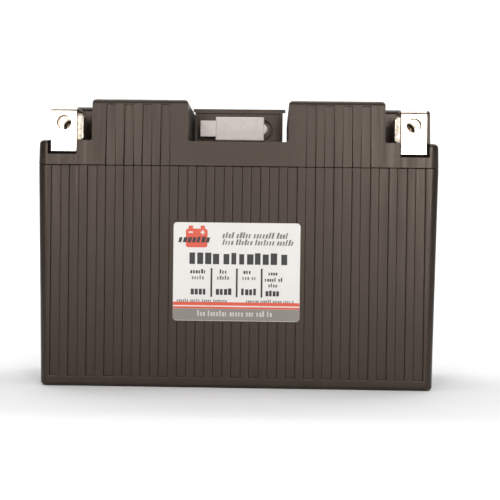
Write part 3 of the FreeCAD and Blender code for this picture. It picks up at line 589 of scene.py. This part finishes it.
def print_front_label():
    """A generic layout: a battery sign, a headline, four ruled columns and a band."""
    print_emblem()
    dark = Print("label_print_dark", FRONT, INK_DARK)
    dark.words(SIGN_ROW, seed=5, slant=0.25, pitch=0.8, bold=True, layer=1)
    dark.words(HEADLINE, seed=21, pitch=0.68, bold=True)
    for place in RULES:
        dark.bar(place - RULE_HALF, place + RULE_HALF, RULE_LOW, RULE_HIGH)
    soft = Print("label_print_soft", FRONT, INK_SOFT)
    for row, seed in TAG_LINES:
        soft.words(row, seed, slant=0.25, pitch=0.5)
    for row, seed in SMALL_PRINT:
        soft.words(row, seed)
    for number, (middle, half) in enumerate(COLUMNS):
        dark.words(around(middle, half, -0.7, 0.9), seed=30 + number)
        soft.words(around(middle, UNIT_HALF, -2.9, -1.4), seed=40 + number)
        dark.words(around(middle, VALUE_HALF, -8.5, -6.1), seed=50 + number, bold=True)
    for half, low in LAST_ROWS:
        dark.words(around(LAST_COLUMN, half, low, low + 1.4), seed=33 - int(low))
    dark.words(around(LAST_COLUMN, VALUE_HALF, -8.8, -6.7), seed=53, bold=True)
    dark.done()
    soft.done()
    band = Print("label_print_band", FRONT, INK_GREY)
    band.bar(PRINT_LEFT, PRINT_RIGHT, -TALL + 0.12, BAND_TOP, BAND_ROUND, square_top=True)
    band.done()
    pale = Print("label_print_pale", FRONT, INK_PALE)
    pale.words(BAND_ROW, seed=70, pitch=0.5, layer=1)
    pale.done()


def print_rear_label():
    """Rows of small print with a title and a stripe at the top."""
    red = Print("rear_print_red", REAR, INK_RED)
    red.bar(PRINT_LEFT, PRINT_RIGHT, *REAR_STRIPE)
    red.done()
    dark = Print("rear_print_dark", REAR, INK_DARK)
    dark.words(REAR_TITLE, seed=80)
    for row in range(REAR_ROWS):
        low = REAR_TOP - row * REAR_STEP
        dark.words((-REAR_HALF, REAR_HALF - (row % 3) * 4.0, low, low + REAR_TALL), seed=90 + row)
    dark.done()


print_front_label()
print_rear_label()
for label in ("front_label", "rear_label"):
    finish_node(label, FILM)

# ---------------------------------------------------------- terminals and port

# the terminal strip, the slot in front of it and the near-black block that fills the slot's foot as painted
# shade
STRIP, STRIP_TIP = 1.5 * MM, 87.0 * MM
SLOT_INSIDE, SLOT_OUTSIDE, SLOT_FOOT = 59.6 * MM, 70.3 * MM, 85.8 * MM
SHADE_FILL_TOP, SHADE_FILL_SETBACK, SHADE_FILL_GAP = 90.9 * MM, 0.7 * MM, 0.05 * MM

# the nuts' bore, and the thread cut outwards from it
NUT_BORE = 2.1 * MM
THREAD_PITCH, THREAD_DEPTH, THREAD_STEPS = 0.8 * MM, 0.34 * MM, 8


def cut_thread(work, middle):
    """Puts a screw thread on the wall of a nut's plain bore, which runs along Y through the middle."""

    def from_axis(place):
        return math.hypot(place.x - middle.x, place.z - middle.z)

    reach = NUT_BORE * 1.02
    wall = [f for f in work.faces if all(from_axis(v.co) < reach for v in f.verts)]
    bmesh.ops.delete(work, geom=wall, context="FACES_ONLY")
    rim = [v for v in work.verts if from_axis(v.co) < reach]
    ends = [[v for v in rim if v.co.y < middle.y], [v for v in rim if v.co.y >= middle.y]]
    for end in ends:
        end.sort(key=lambda v: math.atan2(v.co.z - middle.z, v.co.x - middle.x))
    first, last = ends
    start, length = first[0].co.y, last[0].co.y - first[0].co.y
    steps = round(length / THREAD_PITCH * THREAD_STEPS)
    rings = [first]
    for step in range(1, steps):
        along = length * step / steps
        fade = min(1.0, along / THREAD_PITCH, (length - along) / THREAD_PITCH)
        ring = []
        for vertex in first:
            angle = math.atan2(vertex.co.z - middle.z, vertex.co.x - middle.x)
            phase = (along / THREAD_PITCH - angle / (2 * math.pi)) % 1.0
            radius = NUT_BORE + THREAD_DEPTH * fade * (1 - abs(2 * phase - 1))
            x, z = middle.x + radius * math.cos(angle), middle.z + radius * math.sin(angle)
            ring.append(work.verts.new((x, start + along, z)))
        rings.append(ring)
    rings.append(last)
    bridge(work, rings, turned=True)


def threaded_nut(node, name, body):
    """A copy of a nut's node with a threaded bore."""
    low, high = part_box(node)
    work = copy_of(node)
    cut_thread(work, (Vector(low) + Vector(high)) / 2)
    bmesh.ops.recalc_face_normals(work, faces=work.faces)
    nut = smooth(add_object(name, mesh_from(name, work), body), degrees=30)
    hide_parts(node)
    return nut


def fill_slot_shade(name, side):
    """A near-black block in the foot of a terminal's slot, under the strip and outside it: painted shade
    where the slot lies in shadow.
    """
    lid_low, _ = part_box("lid")
    strip_low, strip_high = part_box("negative_terminal")
    edge, under = strip_high.x + SHADE_FILL_GAP, STRIP_TIP - SHADE_FILL_GAP
    front, back = lid_low.y + SHADE_FILL_SETBACK, strip_low.y + STRIP - SHADE_FILL_GAP
    inside, outside, foot = SLOT_INSIDE + SHADE_FILL_GAP, SLOT_OUTSIDE - SHADE_FILL_GAP, SLOT_FOOT + SHADE_FILL_GAP
    corners = [(inside, foot), (outside, foot), (outside, SHADE_FILL_TOP)]
    corners += [(edge, SHADE_FILL_TOP), (edge, under), (inside, under)]
    work = bmesh.new()
    near = [work.verts.new((side * x, front, z)) for x, z in corners]
    far = [work.verts.new((side * x, back, z)) for x, z in corners]
    work.faces.new(near)
    work.faces.new(list(reversed(far)))
    bridge(work, [near, far], turned=True)
    bmesh.ops.recalc_face_normals(work, faces=work.faces)
    finish_node(add_object(name, mesh_from(name, work)), SLOT_SHADE_FILL)


for polarity, side in (("positive", -1), ("negative", 1)):
    finish_node(polarity + "_terminal", PLATING)
    nut_piece = threaded_nut(polarity + "_terminal_nut", polarity + "_square_nut", polarity + "_nut")
    finish_node(nut_piece, SHADED_NUT_PLATING)
    # a near-black block in the slot's foot paints the shade under the strip
    fill_slot_shade(polarity + "_slot_painted_shade", side)

cap = softened("port_dust_cap", "dust_cap_skin", RUBBER_EDGE, body=CAP_BODY, flat_over=SMALL_FACE)
finish_node(cap, CAP_RUBBER)
socket = softened("port_socket", "port_socket_shell", CONNECTOR_EDGE, flat_over=SMALL_FACE)
finish_node(socket, CONNECTOR)
finish_node("port_pins", PIN_METAL)

# --------------------------------------------------------------- inside pieces

INSIDE = {
    "lid_bond_bead": ADHESIVE,
    "base_pad": FOAM,
    "positive_lead": COPPER,
    "negative_lead": COPPER,
    "balance_board": BOARD,
    "balance_chip": CHIP,
    "balance_resistors": CHIP,
    "port_wires": WIRE,
    "sense_wires": WIRE,
}
for number in range(1, 5):
    INSIDE[f"cell_{number}"] = POUCH
for number in range(1, 4):
    INSIDE[f"separator_{number}"] = FOAM
    INSIDE[f"bus_bar_{number}"] = COPPER
for node_name, node_material in INSIDE.items():
    finish_node(node_name, node_material)


# ----------------------------------------------------------------------- stage


# the floor's sides, the radii of its corners in plan and of its sweep, and its walls' height, in metres
FLOOR_BACK, FLOOR_FRONT, FLOOR_HALF = 1.2, -2.8, 2.4
FLOOR_CORNER, FLOOR_SWEEP, WALL_HEIGHT = 0.3, 0.5, 2.6
SWEEP_STEPS, CORNER_STEPS = 12, 8

CAMERA_PLACE = (0.0132, -0.405, 0.0505)
CAMERA_LENS = 72.9
CAMERA_YAW, CAMERA_TILT, CAMERA_ROLL = 1.28, 90.1, 0.73

# area lights: name, place, what it points at, size in metres, watts
OBJECT_MIDDLE = (0, -0.02, 0.055)
LIGHTS = (
    ("Overhead", (0.0, 0.0, 1.1), (0, 0, 0), (1.4, 1.0), 8.45),
    ("FrontLeft", (-0.25, -0.85, 0.27), OBJECT_MIDDLE, (0.2, 0.42), 2.15),
    ("FrontRight", (0.25, -0.85, 0.25), OBJECT_MIDDLE, (0.2, 0.38), 3.3),
    ("Backdrop", (0.0, 0.75, 1.3), (0, 1.45, 0.35), (2.4, 0.4), 22.0),
    ("FarWash", (0.0, -2.2, 1.5), (0, -3.1, 0.5), (2.4, 0.4), 4.5),
)


def floor_levels():
    """How far out and how high the floor's skin is, from its flat part to the top of its walls."""
    levels = []
    for step in range(SWEEP_STEPS + 1):
        angle = math.radians(90 * step / SWEEP_STEPS)
        levels.append((FLOOR_SWEEP * math.sin(angle), FLOOR_SWEEP * (1 - math.cos(angle))))
    levels.append((FLOOR_SWEEP, WALL_HEIGHT))
    return levels


def floor_ring(out, height):
    """One level of the floor, anticlockwise from the back right."""
    right, back, front = FLOOR_HALF - FLOOR_CORNER, FLOOR_BACK - FLOOR_CORNER, FLOOR_FRONT + FLOOR_CORNER
    middles = [(right, back), (-right, back), (-right, front), (right, front)]
    reach = FLOOR_CORNER + out
    ring = []
    for quarter, (x, y) in enumerate(middles):
        for step in range(CORNER_STEPS + 1):
            angle = math.radians(90 * quarter + 90 * step / CORNER_STEPS)
            ring.append((x + reach * math.cos(angle), y + reach * math.sin(angle), height))
    return ring


def make_stage():
    """A pale floor that sweeps up into a wall all round: close behind the battery, farther off elsewhere."""
    work = bmesh.new()
    rings = [[work.verts.new(p) for p in floor_ring(*level)] for level in floor_levels()]
    work.faces.new(rings[0])
    bridge(work, rings, turned=True)
    mesh = mesh_from("studio_floor", work)
    floor = bpy.data.objects.new("studio_floor", mesh)
    bpy.context.scene.collection.objects.link(floor)
    mesh.polygons.foreach_set("use_smooth", [True] * len(mesh.polygons))
    n = Nodes("StudioPaper")
    n.colour(n.ramp(n.noise(3, 2), (0.93, 0.93, 0.93), (0.95, 0.95, 0.95)))
    n.set(Roughness=0.9, Specular_IOR_Level=0.0)
    mesh.materials.append(n.material)


def make_world():
    """Even, weak light from all round."""
    world = bpy.data.worlds.new("StudioWorld")
    bpy.context.scene.world = world
    world.use_nodes = True
    shader = world.node_tree.nodes["Background"]
    shader.inputs["Color"].default_value = (1.0, 0.99, 0.98, 1)
    shader.inputs["Strength"].default_value = 0.03


def make_camera():
    """A long-lens view of the front from 0.37 m, a little right of the middle."""
    data = bpy.data.cameras.new("Camera")
    data.sensor_width = 36.0
    data.lens = CAMERA_LENS
    data.clip_start = 0.01
    camera = bpy.data.objects.new("Camera", data)
    bpy.context.scene.collection.objects.link(camera)
    camera.location = CAMERA_PLACE
    yaw = Matrix.Rotation(math.radians(CAMERA_YAW), 4, "Z")
    tilt = Matrix.Rotation(math.radians(CAMERA_TILT), 4, "X")
    roll = Matrix.Rotation(math.radians(CAMERA_ROLL), 4, "Z")
    camera.rotation_euler = (yaw @ tilt @ roll).to_euler()
    bpy.context.scene.camera = camera


def area_light(name, place, target, size, watts):
    """A rectangular soft light."""
    data = bpy.data.lights.new(name, "AREA")
    data.shape = "RECTANGLE"
    data.size, data.size_y = size
    data.energy = watts
    lamp = bpy.data.objects.new(name, data)
    bpy.context.scene.collection.objects.link(lamp)
    lamp.location = place
    lamp.rotation_euler = (Vector(target) - Vector(place)).to_track_quat("-Z", "Y").to_euler()


make_stage()
make_world()
make_camera()
for light in LIGHTS:
    area_light(*light)
bpy.context.scene.view_settings.view_transform = "Standard"
